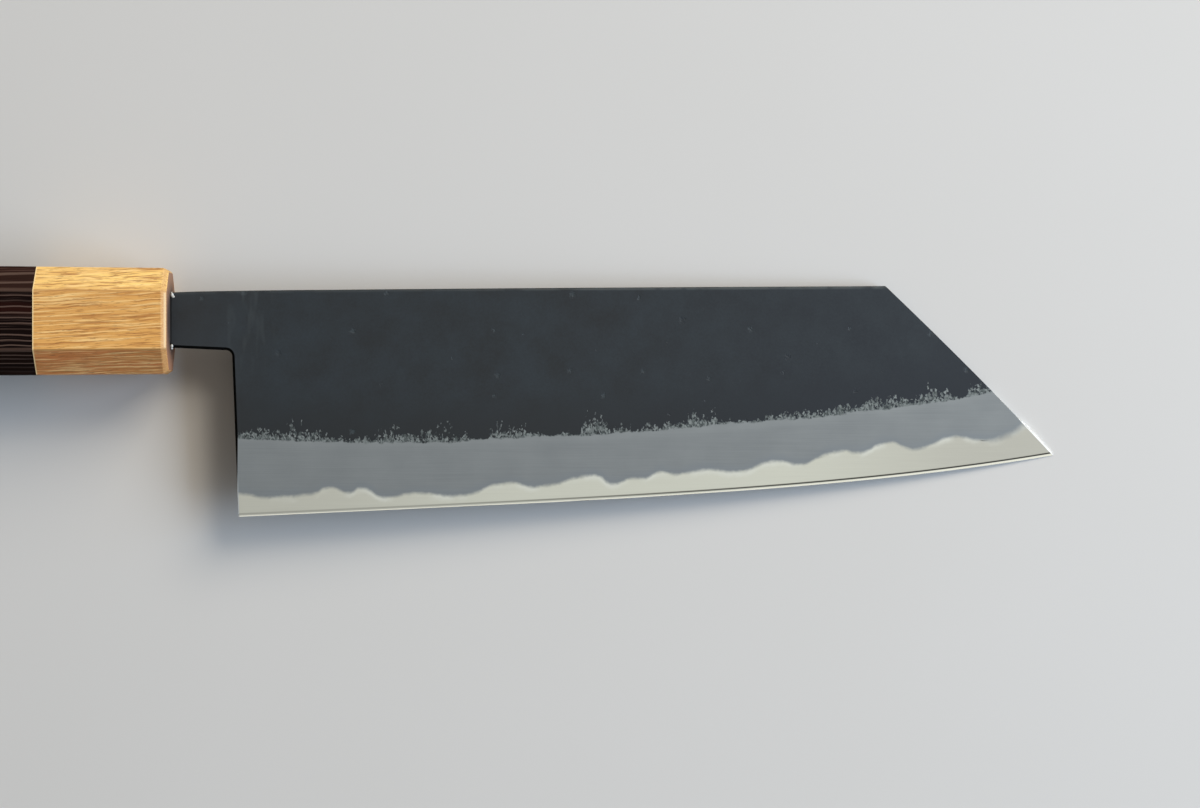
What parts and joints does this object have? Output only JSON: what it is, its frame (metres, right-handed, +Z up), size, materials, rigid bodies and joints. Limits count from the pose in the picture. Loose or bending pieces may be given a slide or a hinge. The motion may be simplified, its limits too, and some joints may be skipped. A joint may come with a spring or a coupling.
{
  "type": "bunka knife",
  "caption": "Kitchen knife with a clipped-tip blade of forge-blackened cladding over a hard steel core, on a hidden tang in an octagonal two-wood handle.",
  "frame": {"origin": "middle of the knife's box in plan, on the table that it lies on", "axes": "+X from the handle's butt to the tip, +Y from the edge to the spine, +Z up out of the table and out of the blade's front face"},
  "size_m": [0.3298, 0.0554, 0.0262],
  "materials": {
    "core_steel": "satin",
    "cladding_iron": "satin",
    "ferrule_wood": "satin",
    "handle_wood": "satin",
    "dowel_wood": "matte",
    "adhesive": "gloss"
  },
  "bodies": {
    "root": {"core_steel": "core_steel", "front_cladding": "cladding_iron", "back_cladding": "cladding_iron", "ferrule": "ferrule_wood", "handle_body": "handle_wood", "handle_dowel": "dowel_wood", "tang_adhesive": "adhesive"}
  },
  "joints": []
}
